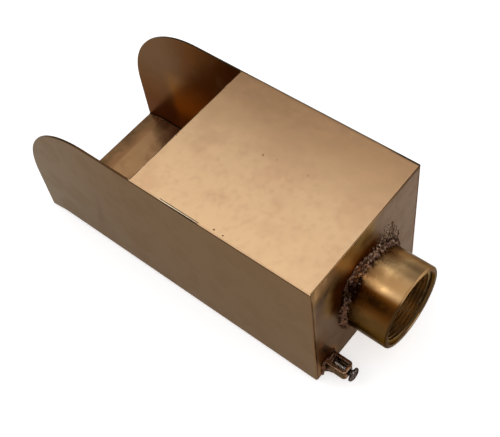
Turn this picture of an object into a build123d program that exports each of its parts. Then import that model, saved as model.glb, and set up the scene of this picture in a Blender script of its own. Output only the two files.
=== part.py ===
"""Spout box of folded copper-alloy sheet with a threaded inlet, to be built into a pool or fountain wall.

Units are millimetres. +X is the way the water runs, +Y is the left side, +Z is up.
The origin is where the inlet's axis meets the end plate's outer face.
"""
import os
from math import atan, exp, sin, tan

from build123d import *

# Sheet metal
sheet_t = 1.3            # 16 gauge sheet
box_w = 101.6            # over the two sides, 4 inches
box_h = 101.6            # floor underside to cover face, 4 inches
trough_l = 228.6         # back face to the sides' front edges, 9 inches
cover_l = 127.0          # back face to the cover's front edge, 5 inches
fold_r = 1.0             # inside radius of the two long folds
nose_r = 65.0            # upper front corners of the sides
lip_l = 14.0             # stretch of floor that is pressed down
lip_drop = 3.0           # how far its front edge lies below the floor
crease_r = 4.0           # radius under the lip's crease
burr_r = 0.3             # broken outer edges where the sheet ends free
ground_r = 0.9           # corners where a weld was ground flush

# Unwelded stretch of the joint between the cover and the left side
gap_w = 0.35
gap_back = 75.0          # from the back face
gap_l = 28.5

# Inlet, a half coupling for 1 1/2 inch taper pipe thread
coupling_l = 28.6        # 1 1/8 inch
coupling_r = 27.0        # 2 1/8 inch across
bore_r = 22.3            # crests of the thread
mouth_r = 24.1           # countersink at the mouth, the thread's outside radius
rim_chamfer = 0.6
axis_up = 40.6           # inlet axis above the floor's underside
axis_right = 3.2         # inlet axis to the right of the box's middle
plate_hole_r = 23.0      # hole in the end plate

# Unground bead round the coupling, spread wide on the plate at its upper left
bead_on_barrel = 3.0
bead_on_plate = 2.2
shoulder_up = 2.3        # where the bead's back is fullest, out from the plate
shoulder_out = 1.2       # and out from the barrel
swell_w = 10.2           # extra width on the plate at the widest place
swell_at = 62.0          # degrees from +Y, turning towards +Z
swell_spread = 25.0      # degrees
swell_h = 1.1            # thickness near the free edge
edge_share = 0.82        # where the free edge begins to fall, from shoulder to edge
dabs = 28                # dabs of metal laid one after another round the barrel
dab_h = 0.75             # how far a dab stands above the notch between two
dab_vary = 0.45          # share by which dabs differ
dab_beat = 2.1           # radians of that wave from one section to the next

# Clamp for the earthing wire, bent from strip
strip_t = 2.0
lug_l = 14.8             # out from the end plate
lug_w = 9.2
lug_h = 8.4              # the strip's width
lug_corner_r = 2.6
lug_foot_r = 0.5
lug_mid_up = 10.2        # its middle above the floor's underside
lug_in = 12.7            # its middle in from the left side
lap_t = 1.6              # strip end folded in over the base
lap_gap = 0.3

# Screw in the clamp, number 10
screw_r = 2.41
screw_fit = 0.05         # play in its hole, on the radius
screw_tip_gap = 0.4      # tip to the folded-in strip end
tip_chamfer = 0.6
neck_l = 2.2             # bare shank between end wall and head
head_r = 4.6
head_h = 3.1
head_rim = 0.7           # straight edge under the dome
slot_w = 1.3
slot_deep = 1.6
slot_turn = 35.0         # degrees

# Braze round the clamp's foot
braze_out = 5.8          # along the clamp's underside
braze_top = 0.9
braze_far = 1.1
braze_near = 3.2
braze_shoulder = 1.5
braze_toe = 1.2          # thickness at its lowest edge
braze_foot_up = 0.4      # lowest edge above the floor's underside

# Places that follow from the sizes
mouth_x = -coupling_l
front_x = trough_l
mid_y = axis_right
floor_z = -axis_up
top_z = floor_z + box_h
inner_w = box_w - 2 * sheet_t
inner_floor_z = floor_z + sheet_t
cover_z = top_z - sheet_t
tiny = 0.01              # nearness that counts as the same place
lug_y = mid_y + box_w / 2 - lug_in
lug_z = floor_z + lug_mid_up
lug_end_x = -lug_l
lug_low_z = lug_z - lug_h / 2
lug_high_z = lug_z + lug_h / 2


def side_outline(lift, overrun):
    """Face in XZ inside the sheet's outer line, or inside its inner line when lifted by its thickness."""
    slope = atan(lip_drop / lip_l)
    crease_x = front_x - lip_l + lift * tan(slope / 2)
    end_x = front_x + overrun
    low = floor_z + lift
    end_z = low - (end_x - crease_x) * tan(slope)
    if overrun:
        high = top_z + overrun
        outline = Polyline((-overrun, low), (crease_x, low), (end_x, end_z),
                           (end_x, high), (-overrun, high), close=True)
    else:
        outline = Polyline((end_x - nose_r, top_z), (0, top_z), (0, low), (crease_x, low),
                           (end_x, end_z), (end_x, top_z - nose_r))
        outline += RadiusArc((end_x, top_z - nose_r), (end_x - nose_r, top_z), -nose_r)
    face = make_face(outline)
    crease = face.vertices().sort_by_distance((crease_x, low, 0))[0]
    return fillet(crease, crease_r + lift)


def long_folds(solid, half_w):
    """Edges along the bottom of both sides of a solid, over the floor, the crease and the lip."""
    def is_fold(edge):
        size = edge.bounding_box().size
        at_side = abs(abs(edge.center().Y - mid_y) - half_w) < tiny
        is_low = edge.center().Z < floor_z + 2 * sheet_t
        return at_side and is_low and size.Y < tiny and size.X > tiny and size.Z < lip_drop + sheet_t
    return solid.edges().filter_by(is_fold)


def free_edges(solid):
    """Outer edges of both sides along the top, round the nose and down the front."""
    def is_free(edge):
        at_side = abs(abs(edge.center().Y - mid_y) - box_w / 2) < tiny
        above_fold = edge.center().Z > floor_z + fold_r + 2 * sheet_t
        return at_side and above_fold and edge.center().X > ground_r + tiny
    return solid.edges().filter_by(is_free)


def make_trough():
    """Floor and sides from one sheet, its upper front corners rounded off and its lip pressed down."""
    middle = Plane.XZ.offset(-mid_y)
    outside = extrude(middle * side_outline(0, 0), box_w / 2, both=True)
    outside = fillet(long_folds(outside, box_w / 2), fold_r + sheet_t)
    back_corners = outside.edges().filter_by(Axis.Z).group_by(Axis.X)[0]
    outside = fillet(back_corners, ground_r)
    outside = fillet(free_edges(outside), burr_r)
    inside = extrude(middle * side_outline(sheet_t, box_h), inner_w / 2, both=True)
    inside = fillet(long_folds(inside, inner_w / 2), fold_r)
    return outside - inside


def make_top_plate():
    """Cover let in between the sides, with its joint to the left side open for a short stretch."""
    plate = Pos(0, mid_y, cover_z) * Box(
        cover_l, inner_w, sheet_t, align=(Align.MIN, Align.CENTER, Align.MIN))
    cross_edges = plate.edges().filter_by(Axis.Y).group_by(Axis.X)
    plate = fillet(cross_edges[0].sort_by(Axis.Z)[-1], ground_r)
    front_edges = plate.edges().filter_by(Axis.Y).group_by(Axis.X)[-1]
    plate = fillet(front_edges, burr_r)
    gap = Pos(gap_back, mid_y + inner_w / 2, cover_z) * Box(
        gap_l, gap_w, sheet_t, align=(Align.MIN, Align.MAX, Align.MIN))
    return plate - gap


def make_end_plate():
    """Back wall let in under the cover and between the sides, cut out for the inlet."""
    height = cover_z - inner_floor_z
    plate = Pos(0, mid_y, inner_floor_z) * Box(
        sheet_t, inner_w, height, align=(Align.MIN, Align.CENTER, Align.MIN))
    low_corners = plate.edges().filter_by(Axis.X).group_by(Axis.Z)[0]
    plate = fillet(low_corners, fold_r)
    hole = Rot(0, 90, 0) * Cylinder(plate_hole_r, 4 * sheet_t)
    return plate - hole


def turned(points):
    """Solid turned about the inlet's axis from (x, radius) points."""
    profile = make_face(Plane.XY * Polyline(*points, close=True))
    return revolve(profile, Axis.X)


def make_inlet_coupling():
    """Turned half coupling, bored to the thread's crests and countersunk at the mouth."""
    sink = mouth_r - bore_r
    return turned([
        (mouth_x, mouth_r), (mouth_x, coupling_r - rim_chamfer), (mouth_x + rim_chamfer, coupling_r),
        (0, coupling_r), (0, bore_r), (mouth_x + sink, bore_r)])


def bead_section(turn, lump):
    """Section of the bead at an angle in degrees, standing higher and wider by a lump."""
    off_peak = (turn - swell_at + 180) % 360 - 180
    width = bead_on_plate + swell_w * exp(-(off_peak / swell_spread) ** 2) + lump
    top = -bead_on_barrel - lump
    edge_at = shoulder_out + edge_share * (width - shoulder_out)
    root = coupling_r - shoulder_out
    outline = Polyline((0, root), (top, root), (top, coupling_r),
                       (-shoulder_up - lump, coupling_r + shoulder_out),
                       (-swell_h - lump / 2, coupling_r + edge_at),
                       (0, coupling_r + width), close=True)
    return Rot(turn, 0, 0) * make_face(outline)


def make_coupling_weld():
    """Bead in the corner between the barrel and the end plate, with a ridge for each dab."""
    sections = []
    for i in range(2 * dabs + 1):
        lump = dab_h * (i % 2) * (1 + dab_vary * sin(dab_beat * i))
        sections.append(bead_section(180 * i / dabs, lump))
    halves = loft(sections[:dabs + 1], ruled=True) + loft(sections[dabs:], ruled=True)
    barrel = Rot(0, 90, 0) * Cylinder(coupling_r, 2 * coupling_l)
    return halves - barrel


def lug_sketch(out_from, out_to, half_w):
    """Rectangle in XY at the clamp, given by its distances out from the end plate."""
    return Pos(-out_to, lug_y) * Rectangle(
        out_to - out_from, 2 * half_w, align=(Align.MIN, Align.CENTER))


def make_bonding_lug():
    """Clamp bent to a ring from one strip, its end folded in over the base, with a hole for the screw."""
    inner_half = lug_w / 2 - strip_t
    base = strip_t + lap_gap + lap_t
    outer = lug_sketch(0, lug_l, lug_w / 2)
    corners = outer.vertices().group_by(Axis.X)
    outer = fillet(corners[0], lug_corner_r)
    outer = fillet(outer.vertices().group_by(Axis.X)[-1], lug_foot_r)
    window = lug_sketch(base, lug_l - strip_t, inner_half)
    window = fillet(window.vertices().group_by(Axis.X)[0], lug_corner_r - strip_t)
    slit = lug_sketch(strip_t, strip_t + lap_gap, inner_half)
    lap_end = Pos(0, lap_gap / 2 - inner_half) * lug_sketch(strip_t, base, lap_gap / 2)
    ring = extrude(Pos(0, 0, lug_low_z) * (outer - window - slit - lap_end), lug_h)
    hole = Pos(lug_end_x, lug_y, lug_z) * Rot(0, 90, 0) * Cylinder(screw_r + screw_fit, 3 * strip_t)
    return ring - hole


def make_lug_screw():
    """Slotted round-head screw, turned about the clamp's middle line."""
    tip = -(strip_t + lap_gap + lap_t + screw_tip_gap)
    under_head = lug_end_x - neck_l
    crown = under_head - head_h
    shoulder = under_head - head_rim
    dome = head_h - head_rim
    dome_r = (head_r ** 2 + dome ** 2) / (2 * dome)
    outline = Polyline((crown, 0), (tip, 0), (tip, screw_r - tip_chamfer),
                       (tip - tip_chamfer, screw_r), (under_head, screw_r),
                       (under_head, head_r), (shoulder, head_r))
    outline += RadiusArc((shoulder, head_r), (crown, 0), dome_r)
    screw = revolve(make_face(outline), Axis.X)
    slot = Pos(crown, 0, 0) * Rot(slot_turn, 0, 0) * Box(
        slot_deep, 3 * head_r, slot_w, align=(Align.MIN, Align.CENTER, Align.CENTER))
    return Pos(0, lug_y, lug_z) * (screw - slot)


def make_lug_braze():
    """Braze that has run round the clamp's foot and filled the corner under it."""
    foot_z = floor_z + braze_foot_up
    low_y = lug_y - lug_w / 2
    high_y = lug_y + lug_w / 2

    def section(x, y0, y1, z0, z1):
        return Plane(origin=(x, 0, 0), x_dir=(0, 1, 0), z_dir=(1, 0, 0)) * Polyline(
            (y0, z0), (y1, z0), (y1, z1), (y0, z1), close=True)

    wide = make_face(section(0, low_y - braze_far, high_y + braze_near,
                             foot_z, lug_high_z + braze_top))
    tight = make_face(section(-braze_shoulder, low_y, high_y, lug_low_z, lug_high_z))
    collar = loft([wide, tight])
    wedge_face = make_face(Plane.XZ * Polyline(
        (0, foot_z), (-braze_toe, foot_z), (-braze_out, lug_low_z), (0, lug_low_z), close=True))
    wedge = Pos(0, lug_y, 0) * extrude(wedge_face, lug_w / 2, both=True)
    clamp = Pos(0, lug_y, lug_z) * Box(2 * lug_l, lug_w, lug_h)
    return collar + wedge - clamp


parts = {
    "trough": make_trough(),
    "top_plate": make_top_plate(),
    "end_plate": make_end_plate(),
    "inlet_coupling": make_inlet_coupling(),
    "coupling_weld": make_coupling_weld(),
    "bonding_lug": make_bonding_lug(),
    "lug_screw": make_lug_screw(),
    "lug_braze": make_lug_braze(),
}

os.makedirs("parts", exist_ok=True)
for name, solid in parts.items():
    solid.label = name
    export_step(solid, f"parts/{name}.step")
    print(name, "solids", len(solid.solids()), "volume", round(solid.volume, 1))
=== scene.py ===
# %% [markdown]
# A spout box for a pool or fountain wall, dressed for its portrait.
# The box is folded from copper alloy sheet. A threaded inlet is welded to its back, and a small
# clamp for an earthing wire is brazed beside it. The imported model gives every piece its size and
# place, so the script starts by loading it and by noting the sizes that the rest is built on.

# %% The frame and its sizes
from functools import partial
from math import cos, exp, hypot, pi, radians, sin
from random import Random

import bmesh
import bpy
from mathutils import Matrix, Vector, noise


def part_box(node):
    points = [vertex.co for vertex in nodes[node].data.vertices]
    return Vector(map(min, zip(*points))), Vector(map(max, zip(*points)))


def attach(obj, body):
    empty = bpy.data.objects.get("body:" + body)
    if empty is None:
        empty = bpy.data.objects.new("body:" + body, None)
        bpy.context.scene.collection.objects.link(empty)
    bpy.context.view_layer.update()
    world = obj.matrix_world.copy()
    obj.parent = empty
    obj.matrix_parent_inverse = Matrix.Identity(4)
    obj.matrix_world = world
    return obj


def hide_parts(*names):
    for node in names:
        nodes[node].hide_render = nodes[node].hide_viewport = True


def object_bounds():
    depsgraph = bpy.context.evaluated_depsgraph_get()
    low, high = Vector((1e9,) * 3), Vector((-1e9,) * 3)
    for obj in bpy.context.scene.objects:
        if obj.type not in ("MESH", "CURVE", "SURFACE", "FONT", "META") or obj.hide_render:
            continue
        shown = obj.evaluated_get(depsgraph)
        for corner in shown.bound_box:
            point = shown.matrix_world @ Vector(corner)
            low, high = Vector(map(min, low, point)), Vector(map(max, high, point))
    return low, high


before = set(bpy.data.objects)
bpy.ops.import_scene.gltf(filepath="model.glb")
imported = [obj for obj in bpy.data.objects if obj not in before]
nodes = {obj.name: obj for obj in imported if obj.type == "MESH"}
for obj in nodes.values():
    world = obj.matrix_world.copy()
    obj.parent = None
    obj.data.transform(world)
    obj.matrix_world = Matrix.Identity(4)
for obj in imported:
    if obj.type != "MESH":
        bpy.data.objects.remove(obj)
frame_low, frame_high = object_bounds()
mm = 0.001
bpy.ops.object.select_all(action="DESELECT")


def mm_box(node):
    """Lowest and highest corner of a node, in millimetres."""
    low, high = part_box(node)
    return low / mm, high / mm


end_low, end_high = mm_box("end_plate")
cover_low, cover_high = mm_box("top_plate")
trough_low, trough_high = mm_box("trough")
barrel_low, barrel_high = mm_box("inlet_coupling")
lug_low, lug_high = mm_box("bonding_lug")
screw_low, screw_high = mm_box("lug_screw")
sheet_t = end_high.x - end_low.x
front_x, top_z = trough_high.x, trough_high.z
left_y, right_y = trough_high.y, trough_low.y
floor_z = end_low.z - sheet_t
cover_x = cover_high.x
barrel_r = barrel_high.y
mouth_x = barrel_low.x
print(f"box {front_x:.1f} long, {left_y - right_y:.1f} wide, {top_z - floor_z:.1f} high, "
      f"sheet {sheet_t:.2f}")

# %% [markdown]
# The camera stands where the photographer stood: behind the box, to its left and well above it.
# Its place was found by fitting the straight edges of the box to the edges in the picture.

# %% Camera
camera_spot = (-149.43, 224.45, 457.17)
camera_turn = (34.741, 5.573, -141.001)
camera_lens = 65.234
camera = bpy.data.objects.new("camera", bpy.data.cameras.new("camera"))
bpy.context.scene.collection.objects.link(camera)
camera.location = Vector(camera_spot) * mm
camera.rotation_euler = [radians(a) for a in camera_turn]
camera.data.lens = camera_lens
camera.data.clip_start, camera.data.clip_end = 0.01, 20
bpy.context.scene.camera = camera
print(f"camera {camera.location.length:.2f} m from the inlet")

# %% [markdown]
# Modelling by hand is picking a few faces and working on them, again and again. These helpers do
# the picking in code: one makes a piece the only thing selected, one picks faces or edges by a
# test of their place, and one applies a modifier. Sizes are in millimetres until a mesh is made.

# %% Picking and working
smooth_angle = 35
same_place = 0.01 * mm
merge_reach = 0.002 * mm


def take(piece):
    """Leaves edit mode and makes one piece the only selected one."""
    if bpy.context.object and bpy.context.object.mode == "EDIT":
        bpy.ops.object.mode_set(mode="OBJECT")
    bpy.ops.object.select_all(action="DESELECT")
    piece.select_set(True)
    bpy.context.view_layer.objects.active = piece


def pick(piece, kind, wanted):
    """Goes into edit mode with the vertices, edges or faces selected that pass a test."""
    take(piece)
    bpy.ops.object.mode_set(mode="EDIT")
    bpy.ops.mesh.select_mode(type=kind)
    bpy.ops.mesh.select_all(action="DESELECT")
    mesh = bmesh.from_edit_mesh(piece.data)
    elements = {"VERT": mesh.verts, "EDGE": mesh.edges, "FACE": mesh.faces}[kind]
    for element in elements:
        if wanted(element):
            element.select_set(True)
    bmesh.update_edit_mesh(piece.data)


def use_modifier(piece, kind, **settings):
    """Adds a modifier, sets it up and applies it."""
    take(piece)
    modifier = piece.modifiers.new(kind.lower(), kind)
    for name, value in settings.items():
        setattr(modifier, name, value)
    bpy.ops.object.modifier_apply(modifier=modifier.name)


def fix_place():
    """Puts the active piece's place, turn and size into its mesh."""
    bpy.ops.object.transform_apply(location=True, rotation=True, scale=True)
    return bpy.context.object


def block(name, low, high):
    """Box between two corners given in millimetres."""
    low, high = Vector(low), Vector(high)
    bpy.ops.mesh.primitive_cube_add(size=1, location=(low + high) / 2 * mm, scale=(high - low) * mm)
    bpy.context.object.name = name
    return fix_place()


def rod(name, radius, x_from, x_to, y, z, sides=64):
    """Cylinder along X."""
    bpy.ops.mesh.primitive_cylinder_add(
        vertices=sides, radius=radius * mm, depth=(x_to - x_from) * mm,
        location=Vector(((x_from + x_to) / 2, y, z)) * mm, rotation=(0, pi / 2, 0))
    bpy.context.object.name = name
    return fix_place()


def cut(piece, cutter):
    """Takes a cutter's shape out of a piece and removes the cutter."""
    use_modifier(piece, "BOOLEAN", operation="DIFFERENCE", object=cutter, solver="EXACT")
    bpy.data.objects.remove(cutter)


def soften(piece, width, angle=40, segments=3):
    """Rounds every edge that is sharper than an angle."""
    use_modifier(piece, "BEVEL", width=width * mm, segments=segments, limit_method="ANGLE",
                 angle_limit=radians(angle), use_clamp_overlap=True)


def seat(piece, slot, *stands_for):
    """Smooth shading, the body it rides on, and the nodes that it stands for. Slot is not used."""
    take(piece)
    bpy.ops.object.shade_smooth_by_angle(angle=radians(smooth_angle))
    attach(piece, "root")
    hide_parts(*stands_for)
    triangles = sum(len(face.vertices) - 2 for face in piece.data.polygons)
    print(f"{piece.name}: {triangles} triangles")


# %% [markdown]
# A screw thread is one small tooth carried round and along at the same time. The Screw modifier
# does just that: it winds a profile of one pitch into a helix and joins the turns. The taper of a
# pipe thread and the countersink at its mouth are moves of the finished vertices.

# %% Threads
inch = 25.4
lead_in = 1.5


def thread(name, pitch, turns, valley_r, crest_r, start_x, steps, y=0, z=0):
    """Open helical surface about an axis along X, with flats on the valleys and crests."""
    # Each pair is a share of the pitch and the radius there.
    shares = [(0, valley_r), (0.05, valley_r), (0.45, crest_r),
              (0.55, crest_r), (0.95, valley_r), (1, valley_r)]
    mesh = bpy.data.meshes.new(name)
    mesh.from_pydata([(share * pitch * mm, radius * mm, 0) for share, radius in shares],
                     [(i, i + 1) for i in range(len(shares) - 1)], [])
    piece = bpy.data.objects.new(name, mesh)
    bpy.context.scene.collection.objects.link(piece)
    use_modifier(piece, "SCREW", axis="X", angle=2 * pi, screw_offset=pitch * mm, iterations=turns,
                 steps=steps, render_steps=steps, use_merge_vertices=True,
                 merge_threshold=merge_reach)
    for vertex in piece.data.vertices:
        vertex.co += Vector((start_x, y, z)) * mm
    return piece


def trim(piece, x, keep_above):
    """Cuts an open surface off square at a place along X."""
    pick(piece, "FACE", lambda face: True)
    bpy.ops.mesh.bisect(plane_co=(x * mm, 0, 0), plane_no=(1, 0, 0), threshold=0.0001 * mm,
                        clear_inner=keep_above, clear_outer=not keep_above)
    bpy.ops.object.mode_set(mode="OBJECT")


def pick_rim(piece, x):
    """Picks the open edges that lie at a place along X."""
    pick(piece, "EDGE", lambda edge: edge.is_boundary and
         all(abs(vertex.co.x - x * mm) < same_place for vertex in edge.verts))


def carry_on(piece, points, y=0, z=0):
    """Extrudes the picked rim from one (x, radius) to the next about an axis along X."""
    axis = Vector((0, y, z)) * mm
    for x, radius in points:
        bpy.ops.mesh.extrude_edges_move()
        mesh = bmesh.from_edit_mesh(piece.data)
        for vertex in mesh.verts:
            if vertex.select:
                out = Vector((0, vertex.co.y - axis.y, vertex.co.z - axis.z)).normalized()
                vertex.co = axis + out * radius * mm + Vector((x * mm, 0, 0))
        bmesh.update_edit_mesh(piece.data)


def close_up(piece):
    """Joins what lies together and turns every face outwards."""
    pick(piece, "VERT", lambda vertex: True)
    bpy.ops.mesh.remove_doubles(threshold=merge_reach)
    bpy.ops.mesh.normals_make_consistent(inside=False)
    bpy.ops.object.mode_set(mode="OBJECT")


# %% [markdown]
# The inlet is half of a brass pipe coupling with a 1 1/2 inch taper thread inside, 11 1/2 turns to
# the inch. It is modelled from the thread outwards: the wound surface is trimmed at both ends, its
# mouth is opened by the countersink, and the rim of the mouth is then drawn out to the land, the
# chamfer, the outside of the barrel and back to the thread's inner end.

# %% The inlet
pipe_pitch = inch / 11.5
pipe_depth = 0.8 * pipe_pitch
taper_run = 32
mouth_r = 24.1
root_r = mouth_r - 0.05
land_round = 0.25
chamfer = 0.6


def make_inlet():
    """Threaded half coupling with a countersunk mouth."""
    turns = int(-mouth_x / pipe_pitch) + 3
    inlet = thread("inlet_thread_and_barrel", pipe_pitch, turns, root_r, root_r - pipe_depth,
                   mouth_x - lead_in * pipe_pitch, 128)
    for vertex in inlet.data.vertices:
        along = vertex.co.x / mm - mouth_x
        radius = hypot(vertex.co.y, vertex.co.z) / mm
        tapered = radius - along / taper_run
        opened = max(tapered, mouth_r - along)
        vertex.co.y *= opened / radius
        vertex.co.z *= opened / radius
    trim(inlet, mouth_x, True)
    trim(inlet, 0, False)
    pick_rim(inlet, mouth_x)
    carry_on(inlet, [
        (mouth_x, mouth_r + land_round), (mouth_x, barrel_r - chamfer - land_round),
        (mouth_x + land_round / 2, barrel_r - chamfer),
        (mouth_x + chamfer, barrel_r - land_round / 3),
        (mouth_x + 2 * chamfer, barrel_r), (mouth_x / 2, barrel_r), (0, barrel_r), (0, mouth_r)])
    pick(inlet, "EDGE", lambda edge: edge.is_boundary)
    bpy.ops.mesh.bridge_edge_loops()
    close_up(inlet)
    seat(inlet, "turned_brass", "inlet_coupling")
    return inlet


inlet = make_inlet()
print(f"thread of pitch {pipe_pitch:.2f} mm, {pipe_depth:.2f} mm deep")

# %% [markdown]
# The bead round the inlet was laid in dabs and never ground: a crumbly, stringy crust with sharp
# little crests, pits and runs, which strays far over the plate at its upper right. A merged copy of
# its solid is the core. Strands of metal are laid over the core and flat runs on the plate, and a
# voxel remesh melts them all into one skin. Noise then pushes that skin in and out: broad lumps,
# ridged crumbs and a fine grit. The braze at the clamp is made the same way, without strands.

# %% Crusted metal
grain = 0.22
strand_seed = 5
strand_count = 260
run_count = 70
bead_w, bead_h = 3.6, 3.0
plate_reach = 31
run_middle, run_scatter, run_stray = 122, 17, 11
strand_sizes = ((1.6, 3.6), (0.28, 0.46), (0.34, 0.6))
run_sizes = ((1.4, 3.8), (0.2, 0.3), (0.16, 0.24))
lump_size = 2.6
rough_size = 4
crumb_size = 1.1
grit_size = 0.45


def merged_copy(node, name):
    """Copy of a node's mesh with its loose triangles joined."""
    piece = nodes[node].copy()
    piece.data = nodes[node].data.copy()
    piece.parent = None
    piece.name = name
    for key in list(piece.keys()):
        del piece[key]
    bpy.context.scene.collection.objects.link(piece)
    close_up(piece)
    return piece


def ridged(spot, size, seed):
    """Noise with sharp crests, from 0 to 1."""
    return 1 - abs(noise.noise(spot / size + Vector((seed, 0, 0)))) * 2


def lay_strands(piece, strands):
    """Adds stretched balls, each with its place, direction, half length, width and height."""
    mesh = bmesh.new()
    mesh.from_mesh(piece.data)
    for spot, along, length, width, height in strands:
        along = Vector(along).normalized()
        aside = along.cross(Vector((1, 0.01, 0))).normalized()
        raised = along.cross(aside)
        stretch = Matrix((along * length, aside * width, raised * height)).transposed().to_4x4()
        bmesh.ops.create_icosphere(mesh, subdivisions=2, radius=mm,
                                   matrix=Matrix.Translation(Vector(spot) * mm) @ stretch)
    mesh.to_mesh(piece.data)
    mesh.free()


def swell(turn, middle, width):
    """1 at a middle angle in degrees, fading to 0 with the distance from it."""
    return exp(-((turn - radians(middle)) / width) ** 2)


def bead_strands(dice):
    """Strands across the bead all round, and flat runs on the plate at its upper right."""
    strands = []
    for _ in range(strand_count):
        turn = radians(dice.uniform(0, 360))
        out = Vector((0, cos(turn), sin(turn)))
        share = dice.random()
        # Turning from the left over the top, the bead is widest at 80 and narrowest at 130.
        spread = bead_w + 1.6 * swell(turn, 80, 0.5) - 0.9 * swell(turn, 130, 0.4)
        spot = out * (barrel_r + 0.2 + spread * share)
        spot.x = -0.3 - bead_h * (1 - share) ** 1.3
        around = Vector((0, -sin(turn), cos(turn)))
        along = out * spread + Vector((bead_h, 0, 0)) + around * dice.uniform(-5, 5)
        strands.append((spot, along, *(dice.uniform(*size) for size in strand_sizes)))
    for _ in range(run_count):
        turn = radians(dice.gauss(run_middle, run_scatter))
        out = Vector((0, cos(turn), sin(turn)))
        reach = plate_reach + dice.random() * run_stray * swell(turn, 113, 0.45)
        along = Vector((0, -0.3 + dice.uniform(-0.5, 0.5), 1))
        spot = out * reach + Vector((-0.05, 0, 0))
        strands.append((spot, along, *(dice.uniform(*size) for size in run_sizes)))
    return strands


def crusted_copy(node, name, lumps, crumbs, grit, strands=()):
    """Remeshed copy of a node and its strands, roughened by noise of three sizes."""
    piece = merged_copy(node, name)
    lay_strands(piece, strands)
    use_modifier(piece, "REMESH", mode="VOXEL", voxel_size=grain * mm)
    use_modifier(piece, "SMOOTH", factor=0.5, iterations=1)
    moves = []
    for vertex in piece.data.vertices:
        spot = vertex.co / mm
        height = lumps * (noise.noise(spot / lump_size) - 0.35)
        rough_here = 0.5 + noise.noise(spot / rough_size + Vector((3, 0, 0)))
        height += crumbs * max(rough_here, 0) * (ridged(spot, crumb_size, 7) ** 3 - 0.45)
        height += grit * noise.noise(spot / grit_size)
        moves.append(vertex.normal * height * mm)
    for vertex, move in zip(piece.data.vertices, moves):
        vertex.co += move
        vertex.co.x = min(vertex.co.x, 0)
    return piece


weld = crusted_copy("coupling_weld", "crusted_weld_bead", lumps=0.9, crumbs=0.25, grit=0.1,
                    strands=bead_strands(Random(strand_seed)))
seat(weld, "weld_metal", "coupling_weld")
braze = crusted_copy("lug_braze", "braze_fillet", lumps=1.0, crumbs=0.3, grit=0.1)
seat(braze, "braze_metal", "lug_braze")

# %% [markdown]
# The clamp for the earthing wire is a short strip bent to a ring, its end folded in over the base.
# A block gets its bent corners from edge bevels, and two cutters take out the window for the wire
# and the slit under the folded end. A last bevel takes the sharpness off every cut edge.

# %% The clamp
strip_t = 2.0
bend_r = 2.6
foot_r = 0.5
lap_t = 1.6
lap_gap = 0.3
lug_y = (lug_low.y + lug_high.y) / 2
lug_z = (lug_low.z + lug_high.z) / 2
screw_r = 2.41
hole_r = screw_r + 0.05
edge_round = 0.22
cut_past = 1.0
cut_low, cut_high = lug_low.z - cut_past, lug_high.z + cut_past


def round_uprights(piece, x, radius, segments=6):
    """Bevels the upright edges at a place along X."""
    pick(piece, "EDGE", lambda edge: abs(edge.verts[0].co.z - edge.verts[1].co.z) > mm
         and all(abs(vertex.co.x - x * mm) < same_place for vertex in edge.verts))
    bpy.ops.mesh.bevel(offset=radius * mm, segments=segments, affect="EDGES")
    bpy.ops.object.mode_set(mode="OBJECT")


def make_clamp():
    """Ring of strip with its window, the slit under the folded end, and the screw's hole."""
    clamp = block("earthing_clamp", lug_low, lug_high)
    round_uprights(clamp, lug_low.x, bend_r)
    round_uprights(clamp, lug_high.x, foot_r, 3)
    near_y, far_y = lug_high.y - strip_t, lug_low.y + strip_t
    lap_x = -(strip_t + lap_gap + lap_t)
    slit_x = -strip_t - lap_gap
    window = block("window", (lug_low.x + strip_t, far_y, cut_low), (lap_x, near_y, cut_high))
    round_uprights(window, lug_low.x + strip_t, bend_r - strip_t)
    cut(clamp, window)
    cut(clamp, block("slit", (slit_x, far_y, cut_low), (-strip_t, near_y, cut_high)))
    lap_end = block("lap end", (lap_x - cut_past, far_y, cut_low),
                    (-strip_t - lap_gap / 2, far_y + lap_gap, cut_high))
    cut(clamp, lap_end)
    hole_from, hole_to = lug_low.x - cut_past, lug_low.x + strip_t + cut_past
    cut(clamp, rod("hole", hole_r, hole_from, hole_to, lug_y, lug_z))
    soften(clamp, edge_round)
    seat(clamp, "lug_strip", "bonding_lug")
    return clamp


clamp = make_clamp()

# %% [markdown]
# The screw is a number 10 with a round slotted head. Its shank is wound like the inlet's thread,
# and the shank's open ends are carried on: one to the chamfered tip, the other over the plain neck
# and round the dome of the head. A turned block then saws the slot.

# %% The screw
screw_pitch = inch / 24
screw_depth = 0.45
neck_l = 2.2
neck_r = screw_r - 0.1
bare_end = 0.6
runout = 0.2
head_r = screw_high.y - lug_y
slot_w = 1.3
slot_deep = 1.6
slot_turn = 35.0
crown_x, tip_x = screw_low.x, screw_high.x
under_head = lug_low.x - neck_l
head_h = under_head - crown_x
head_rim = 0.7


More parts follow.
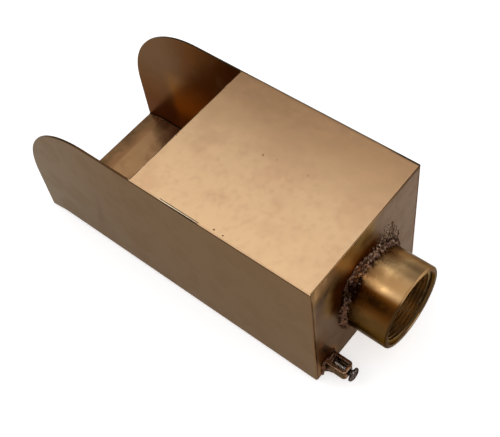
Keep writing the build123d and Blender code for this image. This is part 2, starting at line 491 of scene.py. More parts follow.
def make_screw():
    """Threaded shank, plain neck and domed head with a slot."""
    from_x, to_x = under_head + bare_end, tip_x - bare_end
    turns = int((to_x - from_x) / screw_pitch) + 3
    screw = thread("clamp_screw", screw_pitch, turns, screw_r - screw_depth, screw_r,
                   from_x - lead_in * screw_pitch, 48, lug_y, lug_z)
    trim(screw, from_x, True)
    trim(screw, to_x, False)
    pick_rim(screw, to_x)
    carry_on(screw, [(to_x + runout, screw_r - screw_depth), (tip_x, screw_r - 2 * screw_depth),
                     (tip_x, 0.2), (tip_x, 0)], lug_y, lug_z)
    pick_rim(screw, from_x)
    dome = [(crown_x + (head_h - head_rim) * (1 - cos(a)), head_r * sin(a))
            for a in (radians(d) for d in (80, 70, 60, 50, 40, 30, 20, 10, 3, 0))]
    neck = [(from_x - runout, neck_r), (under_head, neck_r), (under_head, head_r - 0.15),
            (under_head - 0.12, head_r), (under_head - head_rim, head_r)]
    carry_on(screw, neck + dome, lug_y, lug_z)
    close_up(screw)
    middle = Vector((crown_x, lug_y, lug_z))
    half = Vector((slot_deep, 2 * head_r, slot_w / 2))
    saw = block("saw", middle - half, middle + half)
    take(saw)
    bpy.ops.object.mode_set(mode="EDIT")
    bpy.ops.transform.rotate(value=radians(slot_turn), orient_axis="X", center_override=middle * mm)
    cut(screw, saw)
    seat(screw, "screw_steel", "lug_screw")
    return screw


screw = make_screw()

# %% [markdown]
# A finish is made of a few effects that come back on every piece: soft clouds of tarnish, thin
# streaks, dark specks and a mask of the edges, which darkens the trough's edges and carries a
# painted highlight on the clamp's. Each is a shader node group with its own inputs, and each only
# puts out a mask. The helpers below add a node, wire it and build a group.

# %% Wiring nodes
def tone(red, green, blue):
    """A colour as a picture shows it, 0 to 255, turned into the light values of a shader."""
    def light(value):
        share = value / 255
        return share / 12.92 if share <= 0.04045 else ((share + 0.055) / 1.055) ** 2.4
    return light(red), light(green), light(blue), 1


def wire(tree, kind, inputs=None, **settings):
    """Adds a node, sets it up, and feeds each named or numbered input from a socket or a value."""
    made = tree.nodes.new("ShaderNode" + kind)
    for name, value in settings.items():
        setattr(made, name, value)
    for name, value in (inputs or {}).items():
        if isinstance(value, bpy.types.NodeSocket):
            tree.links.new(value, made.inputs[name])
        else:
            made.inputs[name].default_value = value
    return made


def maths(operation, a, b=0.0):
    """One step of arithmetic, in the tree of the first socket in it."""
    tree = next(value.id_data for value in (a, b) if isinstance(value, bpy.types.NodeSocket))
    return wire(tree, "Math", {0: a, 1: b}, operation=operation).outputs[0]


# Short names for the five kinds of arithmetic that come back most, each on two masks or numbers.
plus, minus, times, over, most = (
    partial(maths, kind) for kind in ("ADD", "SUBTRACT", "MULTIPLY", "DIVIDE", "MAXIMUM"))


def vectors(operation, a, b=(0, 0, 0)):
    """The number that a step of vector arithmetic gives."""
    return wire(a.id_data, "VectorMath", {0: a, 1: b}, operation=operation).outputs["Value"]


def split(vector):
    """The three parts of a vector."""
    return tuple(wire(vector.id_data, "SeparateXYZ", {0: vector}).outputs)


def off_axis(y, z):
    """The distance from an axis along X."""
    return vectors("LENGTH", wire(y.id_data, "CombineXYZ", {1: y, 2: z}).outputs[0])


def ramp(value, low, high, to_low=0.0, to_high=1.0):
    """Carries a value smoothly from one range into another."""
    ranges = {"Value": value, "From Min": low, "From Max": high,
              "To Min": to_low, "To Max": to_high}
    return wire(value.id_data, "MapRange", ranges, interpolation_type="SMOOTHSTEP").outputs[0]


def mix(mask, a, b):
    """Colour a where the mask is 0 and colour b where it is 1."""
    return wire(mask.id_data, "Mix", {0: mask, 6: a, 7: b}, data_type="RGBA").outputs[2]


def start_group(name, **numbers):
    """Group with number inputs by name and one mask as its output."""
    tree = bpy.data.node_groups.new(name, "ShaderNodeTree")
    for label, value in numbers.items():
        socket = tree.interface.new_socket(name=label, in_out="INPUT",
                                           socket_type="NodeSocketFloat")
        socket.default_value = value
    tree.interface.new_socket(name="Mask", in_out="OUTPUT", socket_type="NodeSocketFloat")
    return tree, tree.nodes.new("NodeGroupInput").outputs


def end_group(tree, mask):
    """Puts a mask out of its group and gives the group."""
    tree.links.new(mask, tree.nodes.new("NodeGroupOutput").inputs["Mask"])
    return tree


def place(tree):
    """The place on the piece, in millimetres."""
    here = wire(tree, "TexCoord").outputs["Object"]
    return wire(tree, "VectorMath", {0: here, 3: 1 / mm}, operation="SCALE").outputs[0]


def coords(tree):
    """The three parts of the place."""
    return split(place(tree))


def facing(tree):
    """The three parts of the surface's true normal."""
    return split(wire(tree, "NewGeometry").outputs["True Normal"])


def use(tree, group, **numbers):
    """Places a group in a tree with its own numbers and gives its mask."""
    return wire(tree, "Group", numbers, node_tree=group).outputs["Mask"]


# %% [markdown]
# Clouds are noise with a soft threshold. Size is how far one cloud reaches in millimetres, Low and
# High are where it starts and where it is full, and Seed gives another pattern of the same kind.
# Streaks are the same noise, drawn out along X. Turned marks are noise that changes only along the
# axis and with the radius, as a lathe leaves them.

# %% Clouds, streaks and turned marks
def noise_mask(tree, sockets, where, detail):
    """Noise of the group's size and seed, cut by its low and high marks."""
    scale = over(1.0, sockets["Size"])
    inputs = {"Vector": where, "W": sockets["Seed"], "Scale": scale, "Detail": detail,
              "Roughness": 0.55}
    grains = wire(tree, "TexNoise", inputs, noise_dimensions="4D").outputs["Fac"]
    return ramp(grains, sockets["Low"], sockets["High"])


def make_clouds():
    """Soft patches."""
    tree, sockets = start_group("soft clouds", Size=20, Low=0.4, High=0.6, Seed=0)
    return end_group(tree, noise_mask(tree, sockets, place(tree), 3.0))


def make_streaks():
    """Patches drawn out by Stretch along X."""
    tree, sockets = start_group("drawn streaks", Size=1, Low=0.4, High=0.6, Seed=0, Stretch=12)
    x, y, z = coords(tree)
    along = over(x, sockets["Stretch"])
    where = wire(tree, "CombineXYZ", {0: along, 1: y, 2: z}).outputs[0]
    return end_group(tree, noise_mask(tree, sockets, where, 2.0))


def make_turned_marks():
    """Rings about the inlet's axis, slightly broken up along their run."""
    tree, sockets = start_group("turned marks", Size=0.5, Low=0.3, High=0.7, Seed=0)
    x, y, z = coords(tree)
    side = over(y, 60.0)
    where = wire(tree, "CombineXYZ", {0: x, 1: off_axis(y, z), 2: side}).outputs[0]
    return end_group(tree, noise_mask(tree, sockets, where, 3.0))


clouds = make_clouds()
streaks = make_streaks()
turned_marks = make_turned_marks()

# %% [markdown]
# Specks are the cells of a Voronoi pattern: a cell holds a speck if its random value is under the
# Share, and the speck is a soft dot at the cell's middle. The edge mask comes from the Bevel node:
# it gives the normal that a rounded edge would have, and where that differs from the true normal
# there is an edge within its radius.

# %% Specks and edge masks
def make_specks():
    """Small round dots, with Share of the cells filled."""
    tree, sockets = start_group("specks", Size=6, Share=0.1, Dot=0.5)
    scale = over(1.0, sockets["Size"])
    cells = wire(tree, "TexVoronoi", {"Vector": place(tree), "Scale": scale}).outputs
    reach = over(sockets["Dot"], sockets["Size"])
    dot = ramp(cells["Distance"], 0.0, reach, 1.0, 0.0)
    chance = wire(tree, "SeparateColor", {0: cells["Color"]}).outputs[0]
    chosen = maths("LESS_THAN", chance, sockets["Share"])
    return end_group(tree, times(dot, chosen))


def make_edge_mask():
    """Edges within Reach millimetres, broken up by clouds."""
    tree, sockets = start_group("edge mask", Reach=0.4, Wear=0.5)
    radius = times(sockets["Reach"], mm)
    rounded = wire(tree, "Bevel", {"Radius": radius}, samples=6).outputs[0]
    true = wire(tree, "NewGeometry").outputs["True Normal"]
    edge = ramp(vectors("DOT_PRODUCT", rounded, true), 0.9, 0.99, 1.0, 0.0)
    broken = use(tree, clouds, Size=2.5, Low=0.2, High=0.6, Seed=4)
    return end_group(tree, times(times(edge, broken), sockets["Wear"]))


def make_seam():
    """A line Reach millimetres wide inside Low and inside High of a value, broken up by clouds."""
    tree, sockets = start_group("seam lines", Value=0, Low=0, High=1, Reach=0.6, Seed=0)
    from_low = minus(sockets["Value"], sockets["Low"])
    from_high = minus(sockets["High"], sockets["Value"])
    nearest = maths("MINIMUM", from_low, from_high)
    line = ramp(nearest, times(sockets["Reach"], 0.5), sockets["Reach"], 1.0, 0.0)
    broken = use(tree, clouds, Size=5, Low=0.25, High=0.5, Seed=sockets["Seed"])
    return end_group(tree, times(line, broken))


specks = make_specks()
edge_mask = make_edge_mask()
seam_lines = make_seam()

# %% [markdown]
# Welding leaves its trace on the sheet. Round the inlet the metal took an amber heat tint that
# fades outwards, so the mask is the distance from the inlet's axis with a little noise in it. The
# same group is used round the clamp for the flux stain, with another centre.

# %% Heat and flux stains
def make_stain():
    """Full within Inner of an axis along X at (Y, Z) and gone at Outer, with an uneven border."""
    tree, sockets = start_group("stain round an axis", Y=0, Z=0, Inner=28, Outer=45, Uneven=6,
                                Size=12)
    here = place(tree)
    _, y, z = split(here)
    radius = off_axis(minus(y, sockets["Y"]), minus(z, sockets["Z"]))
    scale = over(1.0, sockets["Size"])
    grains = wire(tree, "TexNoise", {"Vector": here, "Scale": scale, "Detail": 3.0}).outputs["Fac"]
    wander = times(minus(grains, 0.5), sockets["Uneven"])
    radius = plus(radius, wander)
    return end_group(tree, ramp(radius, sockets["Inner"], sockets["Outer"], 1.0, 0.0))


stain = make_stain()
print(f"{len(bpy.data.node_groups)} shared effects")

# %% [markdown]
# Every finish here is bare metal, so the Principled shader is fully metallic and its base colour
# is the metal's own. What changes over the surface is the colour, the roughness and a faint bump.
# This helper ends a material; the finishes below only work out those three.

# %% Ending a material
def start_material(piece, name):
    """Gives a piece one material with no nodes yet, and gives its tree."""
    material = bpy.data.materials.new(name)
    material.use_nodes = True
    material.node_tree.nodes.clear()
    piece.data.materials.clear()
    piece.data.materials.append(material)
    return material.node_tree


def end_material(tree, colour, roughness, height, depth, grazing):
    """Metal from a colour, a roughness, a height and its depth, and a tint at grazing angles."""
    bump = wire(tree, "Bump", {"Height": height, "Distance": depth * mm, "Strength": 1.0})
    shader = wire(tree, "BsdfPrincipled", {
        "Base Color": colour, "Roughness": roughness, "Metallic": 1.0,
        "Specular Tint": grazing, "Normal": bump.outputs[0]})
    wire(tree, "OutputMaterial", {"Surface": shader.outputs[0]})


# %% [markdown]
# The sheet is a gold tan bronze with a satin skin. The cover was buffed after welding and is the
# brightest face; the other faces of the sheet are painted darker than it as shade. It has faint
# pinkish patches, a few pits whose places are listed, and dark lines along its seams. The long
# waves in its reflections come from a bump that is very shallow and very wide, as in real thin
# sheet.

# %% Cover finish
buffed = tone(230, 190, 146)
rosy = tone(212, 166, 128)
deep = tone(214, 164, 118)
pit_brown = tone(96, 66, 40)
edge_brown = tone(88, 62, 40)
edge_gold = tone(140, 104, 62)
# Each pit: its place along X and Y, and its radius.
cover_pits = ((75.6, -3.7, 0.7), (66.9, -5.3, 0.5), (65.6, 51.0, 0.8), (59.2, 51.2, 0.7),
              (46.0, -6.5, 0.5))


def sheet_height(tree):
    """Broad waves of thin sheet with the fine grain of rolling."""
    waves = use(tree, clouds, Size=60, Low=0.1, High=0.9, Seed=2)
    grains = use(tree, streaks, Size=0.35, Low=0.2, High=0.8, Stretch=25)
    return plus(waves, times(grains, 0.03))


def finish_cover(piece):
    """Buffed satin bronze."""
    tree = start_material(piece, "buffed bronze cover")
    x, y, _ = coords(tree)
    patches = use(tree, clouds, Size=26, Low=0.46, High=0.66, Seed=1)
    small = use(tree, clouds, Size=4, Low=0.45, High=0.7, Seed=5)
    colour = mix(ramp(y, 10.0, right_y, 0.0, 0.7), buffed, deep)
    colour = mix(times(patches, 0.45), colour, rosy)
    colour = mix(times(small, 0.15), colour, rosy)
    pits = use(tree, specks, Size=9, Share=0.05, Dot=0.55)
    for pit_x, pit_y, reach in cover_pits:
        away = vectors("DISTANCE", place(tree), (pit_x, pit_y, top_z))
        pits = most(pits, ramp(away, reach * 0.4, reach, 1.0, 0.0))
    colour = mix(pits, colour, pit_brown)
    # The left seam is drawn on the trough's rim, so the line there is moved off the cover.
    sides = use(tree, seam_lines, Value=y, Low=cover_low.y, High=cover_high.y + 2, Reach=0.7)
    ends = use(tree, seam_lines, Value=x, Low=cover_low.x, High=cover_high.x, Reach=0.8, Seed=3)
    back_line = ramp(x, 20.0, 10.0, 1.0, ramp(y, 5.0, -35.0, 0.15, 0.8))
    colour = mix(most(times(0.3, sides), times(ends, back_line)), colour, edge_brown)
    cut_edge = mix(ramp(y, 10.0, -35.0), edge_gold, edge_brown)
    colour = mix(ramp(facing(tree)[2], 0.9, 0.5), colour, cut_edge)
    roughness = ramp(small, 0.0, 1.0, 0.2, 0.24)
    end_material(tree, colour, roughness, sheet_height(tree), 0.15, (0.7, 0.65, 0.6, 1))


finish_cover(nodes["top_plate"])

# %% [markdown]
# The trough is the same sheet. Its sides are painted darker than the cover as shade, since they
# face
# sideways: brown and a little grey, greyer towards the nose, and the near one has a slanting smear.
# Inside they are amber and rust, painted darker still as shade, and painted dark just above the
# floor as shade. The bends and the lip, which tilt away from level, are painted dark as shade too.
# The floor is gold, lightest behind the lip and darker towards the far side. The normal tells them
# apart: it points up on the floor and sideways on the sides.

# %% Trough finish
# Painted shade: the sides, their insides and the bends are darker than the cover and the floor.
side_shade_brown = tone(111, 85, 58)
side_shade_grey = tone(117, 98, 77)
mottle_brown = tone(106, 80, 54)
smear_brown = tone(96, 62, 40)
inner_shade_brown = tone(100, 71, 47)
inner_amber = tone(156, 95, 14)
inner_rust = tone(90, 51, 16)
inner_shade_dark = tone(84, 42, 16)
fold_shade_brown = tone(44, 27, 15)
floor_gold = tone(172, 132, 92)
floor_brown = tone(150, 113, 78)
lip_gold = tone(208, 154, 106)
lip_x = 213.0


def near(value, middle, gone, full):
    """A mask that is full within a distance from the middle value and gone beyond another."""
    return ramp(maths("ABSOLUTE", minus(value, middle)), gone, full)


def side_tone(tree, mottles):
    """Brown and grey outside, amber and rust inside, all painted darker as shade."""
    x, y, z = coords(tree)
    sides = mix(ramp(x, 130.0, 235.0, 0.0, 0.8), side_shade_brown, side_shade_grey)
    sides = mix(times(mottles, 0.2), sides, mottle_brown)
    slant = plus(x, times(z, 0.21))
    smear = times(near(slant, 169.7, 4.0, 0.5), near(z, -4.0, 24.0, 12.0))
    smear = times(smear, ramp(y, 0.0, left_y, 0.0, 0.35))
    sides = mix(smear, sides, smear_brown)
    inside = times(ramp(y, right_y + sheet_t / 2, right_y + sheet_t),
                   ramp(y, left_y - sheet_t, left_y - sheet_t / 2, 1.0, 0.0))
    low = ramp(z, 30.0, -20.0)
    stains = use(tree, clouds, Size=14, Low=0.3, High=0.5, Seed=15)
    within = mix(times(ramp(x, 200.0, 165.0), stains), inner_shade_brown, inner_rust)
    within = mix(times(low, ramp(x, 204.0, 192.0)), within, inner_amber)
    within = mix(times(low, ramp(x, 192.0, 204.0)), within, inner_rust)
    # Painted shade: darker just above the floor.
    within = mix(ramp(z, floor_z + 32, floor_z + 14, 0.0, 0.75), within, inner_shade_dark)
    return mix(inside, sides, within)


def floor_tone(tree):
    """Gold with brown blotches, a light band behind the lip, and darker towards the far side."""
    x, y, _ = coords(tree)
    blotches = use(tree, clouds, Size=13, Low=0.4, High=0.62, Seed=3)
    bed = mix(blotches, floor_gold, floor_brown)
    wander = times(minus(blotches, 0.5), 5.0)
    by_lip = times(ramp(plus(x, wander), lip_x + 16, lip_x),
                   ramp(x, lip_x + 1.5, lip_x + 2.5))
    bed = mix(by_lip, bed, lip_gold)
    # Darker towards the far side.
    far_darkening = times(use(tree, clouds, Size=5, Low=0.4, High=0.6, Seed=31), ramp(y, -28.0, right_y))
    return mix(times(far_darkening, 0.3), bed, inner_rust)


# %% [markdown]
# The rim of the sides was ground flush with the cover and is as pale as the cover there. A dark
# line runs along its outer edge. Where the near seam was left open the rim carries a painted
# highlight, and the outer line widens and a second dark line shows the gap itself.

# %% The ground rim, and the trough put together
gap_highlight_gold = tone(255, 232, 196)
far_line = tone(62, 50, 38)
gap_dark = tone(36, 20, 9)
gap_from, gap_to = 76.0, 108.0


def rim_tone(tree):
    """Pale ground metal between dark lines beside the cover, and dark all over in front of it."""
    x, y, _ = coords(tree)
    inner_y = left_y - sheet_t
    behind = ramp(x, cover_x + 1, cover_x - 1)
    on_left = ramp(y, -1.0, 1.0)
    gaping = times(ramp(x, gap_from, gap_from + 2.5), ramp(x, gap_to, gap_to - 10))
    gaping = times(gaping, on_left)
    line_w = ramp(x, 78.0, 104.0, ramp(x, 74.0, 77.0, 0.4, 0.7), 0.45)
    outer_line = ramp(minus(left_y, y), plus(line_w, 0.15), line_w)
    inner_line = times(times(gaping, 0.6), ramp(y, inner_y + 0.3, inner_y + 0.15))
    near_ground = minus(on_left, most(outer_line, inner_line))
    far_ground = times(ramp(y, right_y + 0.7, right_y + 1.0), ramp(x, 8.0, 30.0))
    far_ground = times(far_ground, ramp(y, 1.0, -1.0))
    ground = times(behind, most(near_ground, far_ground))
    # Painted highlight on the rim where the near seam gapes.
    flush = mix(gaping, mix(on_left, deep, buffed), gap_highlight_gold)
    line = mix(gaping, mix(on_left, far_line, edge_brown), gap_dark)
    return mix(ground, line, flush)


def finish_trough(piece):
    """Unbuffed sides, a cleaner floor and a ground rim."""
    tree = start_material(piece, "folded bronze trough")
    x, _, z = coords(tree)
    upward = facing(tree)[2]
    mottles = use(tree, clouds, Size=17, Low=0.42, High=0.66, Seed=8)
    # Painted shade: dark where the sheet tilts away from level, on the bends and the lip.
    colour = mix(ramp(upward, 0.1, 0.3), side_tone(tree, mottles), fold_shade_brown)
    level = ramp(upward, ramp(x, lip_x, lip_x + 1.6, 0.98, 0.93),
                 ramp(x, lip_x, lip_x + 1.6, 0.997, 0.975))
    colour = mix(level, colour, floor_tone(tree))
    rim = times(ramp(upward, 0.2, 0.4), ramp(z, floor_z + 4, floor_z + 5))
    colour = mix(rim, colour, rim_tone(tree))
    colour = mix(use(tree, edge_mask, Reach=0.3, Wear=0.7), colour, edge_brown)
    roughness = ramp(mottles, 0.0, 1.0, 0.28, 0.34)
    end_material(tree, colour, roughness, sheet_height(tree), 0.2, (0.6, 0.58, 0.55, 1))


finish_trough(nodes["trough"])

# %% [markdown]
# The end plate took the heat of the welding. Where it stayed cool it is brown grey, painted darker
# than the cover as shade, and painted darker and duller still towards its lower left as shade, with
# a ring of painted shade beside the inlet on the near side. Above the bead it turned gold, a heat
# tint that is partly a painted reflection, and deep brown close to the bead, darkest where the
# torch stood longest. Rust brown flux lies round the clamp and along the near edge over it, and
# dark lines mark the welds along the borders.

# %% End plate finish
cool_plate = tone(119, 101, 89)
dim_shade_plate = tone(97, 78, 66)
dull_shade_plate = tone(77, 57, 45)
heat_gold = tone(142, 112, 66)
corner_gold = tone(184, 144, 100)
heat_brown = tone(86, 42, 10)
scorched = tone(52, 26, 8)
scorched_brown = tone(78, 36, 8)
flux_brown = tone(128, 82, 42)
ground_brown = tone(122, 96, 68)


def finish_end(piece):
    """Sheet with heat tint and flux stains."""
    tree = start_material(piece, "heat tinted end plate")
    _, y, z = coords(tree)
    mottles = use(tree, clouds, Size=14, Low=0.4, High=0.65, Seed=6)
    # Painted shade: darker and duller towards the lower left.
    left = mix(ramp(z, 20.0, -34.0), dim_shade_plate, dull_shade_plate)
    colour = mix(ramp(y, -25.0, 24.0), cool_plate, left)
    colour = mix(times(mottles, 0.1), colour, flux_brown)
    shade = times(use(tree, stain, Inner=30, Outer=39, Uneven=5, Size=9), ramp(y, 10.0, 20.0))
    colour = mix(times(shade, 0.6), colour, dull_shade_plate)
    # The gold heat tint below is partly a painted reflection.
    border = times(ramp(z, 42.0, 52.0), ramp(y, -8.0, 2.0))
    warm = most(border, use(tree, stain, Y=18, Z=32, Inner=19, Outer=30, Uneven=6, Size=20))
    corner = times(ramp(y, 24.0, 40.0), ramp(z, 38.0, 56.0))
    colour = mix(warm, colour, mix(corner, heat_gold, corner_gold))
    brown = times(warm, use(tree, stain, Inner=38, Outer=54, Uneven=16, Size=12))
    colour = mix(brown, colour, heat_brown)
    torched = use(tree, stain, Y=29, Z=34, Inner=2, Outer=14, Uneven=10, Size=9)
    colour = mix(torched, colour, scorched_brown)
    close = times(warm, use(tree, stain, Inner=39, Outer=44, Uneven=8, Size=5))
    colour = mix(close, colour, scorched_brown)
    clamp_stain = use(tree, stain, Y=lug_y + 4, Z=lug_z + 2, Inner=5, Outer=15, Uneven=12, Size=6)
    edge_stain = times(ramp(y, 43.0, 50.0), ramp(z, 12.0, -8.0))
    colour = mix(most(clamp_stain, times(edge_stain, 0.8)), colour, flux_brown)
    ground = ramp(y, end_high.y - 3.0, end_high.y - 2.4, 0.0, 0.6)
    colour = mix(ground, colour, ground_brown)
    sides = use(tree, seam_lines, Value=y, Low=end_low.y, High=end_high.y, Reach=0.9, Seed=1)
    ends = use(tree, seam_lines, Value=z, Low=end_low.z, High=end_high.z, Reach=0.9, Seed=2)
    top_fade = ramp(z, 50.0, 56.0, 1.0, ramp(y, 5.0, -35.0, 0.1, 0.8))
    colour = mix(times(most(sides, ends), top_fade), colour, scorched)
    roughness = ramp(mottles, 0.0, 1.0, 0.34, 0.46)
    end_material(tree, colour, roughness, sheet_height(tree), 0.2, (0.62, 0.55, 0.48, 1))


finish_end(nodes["end_plate"])

# %% [markdown]
# The inlet is yellower than the sheet, a turned brass with a satin skin and the lathe's fine rings.
# How light or dark the barrel is painted follows how far a place lies to the left of the axis:
# painted shade on the near side, a painted highlight on the shoulder with a band of painted shade
# beside it, and painted shade again on the far side; the highlight is painted brighter towards the
# bead. The mouth's land and rim are dull, and the thread starts dark in the countersink. Heat and
# soot lie by the bead.

# %% Inlet finish
brass = tone(178, 142, 98)
highlight_brass = tone(250, 204, 142)
patch_and_shade_brass = tone(174, 132, 84)
scuff_and_shade_brass = tone(112, 66, 22)
near_shade_brass = tone(81, 58, 29)
far_shade_brass = tone(110, 82, 56)
warm_brass = tone(172, 116, 64)
ring_brass = tone(92, 74, 50)
land_brown = tone(58, 42, 26)
rim_brown = tone(54, 46, 38)
sink_brass = tone(76, 55, 32)
thread_brass = tone(196, 160, 106)
thread_dirt = tone(194, 168, 126)
rim_r = barrel_r - chamfer


def barrel_tone(tree, patches):
    """Colour of the barrel, its land and its rim, with light and shade painted in."""
    x, y, z = coords(tree)
    radius = off_axis(y, z)
    leftward = over(y, radius)
    # Painted highlight: brighter towards the bead.
    colour = mix(ramp(x, -24.0, -10.0), brass, highlight_brass)
    colour = mix(times(patches, 0.35), colour, patch_and_shade_brass)
    scuffs = use(tree, clouds, Size=2.2, Low=0.56, High=0.68, Seed=23)
    colour = mix(times(scuffs, 0.15), colour, scuff_and_shade_brass)
    tinted = times(ramp(x, -19.0, -8.0), ramp(y, -4.0, -11.0))
    colour = mix(times(tinted, 0.8), colour, warm_brass)
    # Painted shade: a darker band beside the shoulder's highlight.
    shade_band = times(ramp(leftward, 0.02, 0.18, 0.0, 0.75), ramp(leftward, 0.4, 0.28))
    colour = mix(shade_band, colour, patch_and_shade_brass)
    # Painted shade on the near side, and on the far side below, by the angle round the axis.
    near_side_shade = mix(ramp(leftward, 0.75, 0.95), scuff_and_shade_brass, near_shade_brass)
    colour = mix(ramp(leftward, 0.4, 0.56), colour, near_side_shade)
    colour = mix(ramp(leftward, -0.3, -0.75), colour, far_shade_brass)
    land = ramp(facing(tree)[0], -0.5, -0.8)
    colour = mix(times(land, ramp(leftward, 0.34, 0.62)), colour, land_brown)
    lowness = over(vectors("DOT_PRODUCT", place(tree), (0, -0.34, -0.94)), radius)
    rim = mix(ramp(radius, rim_r - 0.8, rim_r - 0.2), ring_brass, rim_brown)
    return mix(times(land, ramp(lowness, -0.1, 0.3)), colour, rim)


def thread_tone(tree, x, radius):
    """Brass crests, dirt in the valleys and a dark start at the mouth."""
    crest_r = plus(over(minus(mouth_x, x), taper_run), mouth_r - pipe_depth)
    tooth = mix(ramp(minus(radius, crest_r), 0.2, 1.2), thread_brass, thread_dirt)
    return mix(ramp(x, mouth_x + 1.2, mouth_x + 3.0), sink_brass, tooth)


def finish_inlet(piece):
    """Turned brass."""
    tree = start_material(piece, "turned brass inlet")
    x, y, z = coords(tree)
    radius = off_axis(y, z)
    patches = use(tree, clouds, Size=7, Low=0.42, High=0.62, Seed=9)
    rings = use(tree, turned_marks, Size=0.45, Low=0.25, High=0.75)
    bore = ramp(radius, mouth_r - 0.3, mouth_r, 1.0, 0.0)
    colour = mix(bore, barrel_tone(tree, patches), thread_tone(tree, x, radius))
    soot = times(ramp(x, -7.0, -3.0), use(tree, clouds, Size=3, Low=0.35, High=0.6))
    colour = mix(soot, colour, scorched)
    roughness = ramp(patches, 0.0, 1.0, ramp(x, -20.0, -8.0, 0.28, 0.26), 0.38)
    end_material(tree, colour, roughness, rings, 0.02, (0.5, 0.45, 0.4, 1))


finish_inlet(inlet)

# %% [markdown]
# The bead and the braze are rough cast metal: brown copper on the crests, dark oxide in the
# hollows. The bead's low end and its far part are duller and have no bright specks. Where it strays
# over the plate it is as pale as the plate, and at its left the torch left soot. A bump of fine
# grit adds what is too small for the mesh.

# %% Weld and braze finish
soot_black = tone(40, 24, 14)
dull_crest = tone(98, 70, 54)
pale_run = tone(176, 150, 126)
dim_run = tone(124, 102, 84)
glint_pink = tone(224, 190, 168)


def finish_crust(piece, name, crest, hollow, seed):
    """Crust with lighter crests, dark hollows, pale runs on the plate and soot beside the inlet."""
    tree = start_material(piece, name)
    _, y, z = coords(tree)
    radius = off_axis(y, z)
    fine = use(tree, clouds, Size=2.2, Low=0.4, High=0.62, Seed=seed)
    glints = use(tree, clouds, Size=1.3, Low=0.6, High=0.67, Seed=seed + 1)
    runs = times(use(tree, stain, Y=-20, Z=30, Inner=10, Outer=17, Uneven=6, Size=6),
                 ramp(radius, 30.0, 31.5))
    dull = most(ramp(z, 24.0, 10.0), ramp(y, 8.0, -8.0, 0.0, 0.5))
    outer = times(ramp(radius, 30.5, 32.5), ramp(y, -6.0, 4.0))
    crest = mix(most(dull, times(outer, 0.8)), crest, dull_crest)
    hollow = mix(times(dull, 0.6), hollow, dull_crest)
    colour = mix(fine, mix(runs, hollow, dim_run), mix(runs, crest, pale_run))
    # Painted highlights: small pink glints, left off the duller parts.
    colour = mix(times(glints, minus(1.0, dull)), colour, glint_pink)
    soot = use(tree, stain, Y=21.5, Z=22, Inner=3, Outer=12, Uneven=6, Size=5)
    colour = mix(soot, colour, soot_black)
    roughness = ramp(fine, 0.0, 1.0, 0.5, 0.3)
    end_material(tree, colour, roughness, fine, 0.04, (0.6, 0.55, 0.5, 1))


finish_crust(weld, "crusted weld metal", tone(184, 150, 128), tone(68, 45, 33), 11)
finish_crust(braze, "brown braze metal", tone(124, 88, 60), tone(62, 40, 26), 21)

# %% [markdown]
# The clamp's strip was dulled to a pinkish brown by the torch. Its side facing the near side is
# painted darker as shade, and its edges carry a painted highlight. The screw is steel, dirty in its
# thread and slot, with painted glints and a painted highlight on the shank where it crosses the
# window.

# %% Clamp and screw finish
strip_pink = tone(152, 114, 84)
strip_brown = tone(112, 78, 54)
strip_shade_dark = tone(66, 49, 29)
edge_highlight_pink = tone(230, 196, 170)
steel = tone(86, 74, 70)
steel_dirt = tone(46, 34, 30)
steel_highlight = tone(214, 206, 200)


def finish_strip(piece):
    """Heat-dulled copper strip with painted shade on its near side and painted edge highlights."""
    tree = start_material(piece, "dulled clamp strip")
    patches = use(tree, clouds, Size=3, Low=0.38, High=0.64, Seed=13)
    colour = mix(patches, strip_pink, strip_brown)
    # Painted shade on the side that faces the near side.
    colour = mix(ramp(facing(tree)[1], 0.4, 0.8, 0.0, 0.9), colour, strip_shade_dark)
    # Painted highlight along the edges.
    colour = mix(use(tree, edge_mask, Reach=0.8, Wear=1.0), colour, edge_highlight_pink)
    roughness = ramp(patches, 0.0, 1.0, 0.25, 0.45)
    end_material(tree, colour, roughness, patches, 0.05, (0.6, 0.55, 0.5, 1))


def finish_screw(piece):
    """Plated steel with dirt in the thread and slot, painted glints and a painted shank highlight.
    """
    tree = start_material(piece, "clamp screw steel")
    x = coords(tree)[0]
    dirt = use(tree, clouds, Size=1.6, Low=0.4, High=0.62, Seed=17)
    glints = use(tree, clouds, Size=1.2, Low=0.58, High=0.64, Seed=27)
    shank = times(ramp(x, lug_low.x + 1.5, lug_low.x + 3), 0.6)
    colour = mix(times(dirt, 0.8), steel, steel_dirt)
    # Painted highlights: glints, and a lighter shank where it crosses the window.
    colour = mix(most(glints, shank), colour, steel_highlight)
    roughness = ramp(dirt, 0.0, 1.0, 0.18, 0.4)
    end_material(tree, colour, roughness, dirt, 0.03, (0.5, 0.48, 0.46, 1))


finish_strip(clamp)
finish_screw(screw)

# %% [markdown]
# The box stands on a plain white floor. The floor is lit as any matt surface is, and a little
# light of its own, seen by the camera and in reflections, brings it up to white. The box keeps
# its soft shadow on it.

# %% Floor
floor_reach = 4
floor_white = (0.85, 0.85, 0.85, 1)
floor_glow = 0.55


def make_floor():
    """Large round floor under the lowest point of the box."""
    take(nodes["trough"])
    bpy.ops.mesh.primitive_circle_add(vertices=96, radius=floor_reach, fill_type="NGON",
                                      location=(0, 0, frame_low.z))
    floor = fix_place()
    floor.name = "floor"
    tree = start_material(floor, "white floor")
    seen = wire(tree, "LightPath").outputs
    share = most(seen["Is Camera Ray"], seen["Is Glossy Ray"])
    share = most(share, seen["Is Transmission Ray"])
    matt = wire(tree, "BsdfDiffuse", {"Color": floor_white}).outputs[0]
    glow = wire(tree, "Emission", {"Strength": times(share, floor_glow)}).outputs[0]
    both = wire(tree, "AddShader", {0: matt, 1: glow}).outputs[0]
    wire(tree, "OutputMaterial", {"Surface": both})


make_floor()

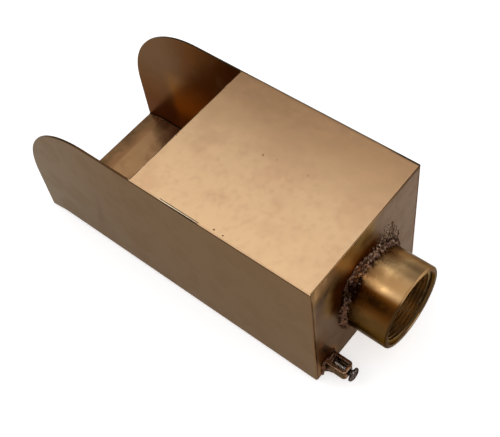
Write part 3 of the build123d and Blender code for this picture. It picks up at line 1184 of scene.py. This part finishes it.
# %% [markdown]
# The light is a soft tent: one broad bright strip overhead that falls off smoothly towards the near
# and the far side, and a pale band along the horizon. Metal has no colour of its own beyond what it
# reflects, so this slow change of brightness is what makes the cover shade from edge to edge. Two
# brighter windows in the tent give the inlet its highlight and the softer light on its far
# shoulder. The camera itself sees the tent as plain white.

# %% Light
far_slope = (0, 0.69, 0.73)
near_slope = (0, -0.69, 0.73)
# Each window: its middle, the cosines where it starts and where it is full, and its strength.
windows = (((0.27, 0.39, 0.88), 0.985, 0.998, 1.6), ((0.278, -0.738, 0.615), 0.965, 0.99, 0.5))


def make_tent():
    """World whose brightness depends only on direction."""
    world = bpy.data.worlds.new("soft tent")
    world.use_nodes = True
    bpy.context.scene.world = world
    tree = world.node_tree
    tree.nodes.clear()
    direction = wire(tree, "TexCoord").outputs["Generated"]
    up = split(direction)[2]
    by_far = ramp(vectors("DOT_PRODUCT", direction, far_slope), 0.17, 0.31, 0.17, 1.04)
    by_near = ramp(vectors("DOT_PRODUCT", direction, near_slope), -0.02, 0.12, 0.04, 1.0)
    ceiling = times(by_far, by_near)
    for middle, edge, full, glow in windows:
        window = vectors("DOT_PRODUCT", direction, middle)
        ceiling = plus(ceiling, ramp(window, edge, full, 0.0, glow))
    strength = most(ceiling, ramp(up, 0.15, 0.35, 0.5, 0.0))
    strength = most(strength, wire(tree, "LightPath").outputs["Is Camera Ray"])
    back = wire(tree, "Background", {"Color": (1, 1, 1, 1), "Strength": strength}).outputs[0]
    wire(tree, "OutputWorld", {"Surface": back})


make_tent()
softbox_spot = Vector((-500, 450, 900))
softbox_size, softbox_watts = 250, 1.0
softbox = bpy.data.objects.new("small softbox", bpy.data.lights.new("small softbox", "AREA"))
softbox.data.energy, softbox.data.size = softbox_watts, softbox_size * mm
softbox.location = softbox_spot * mm
softbox.rotation_euler = (-softbox_spot).to_track_quat("-Z", "Y").to_euler()
bpy.context.scene.collection.objects.link(softbox)
bpy.context.scene.view_settings.view_transform = "Standard"
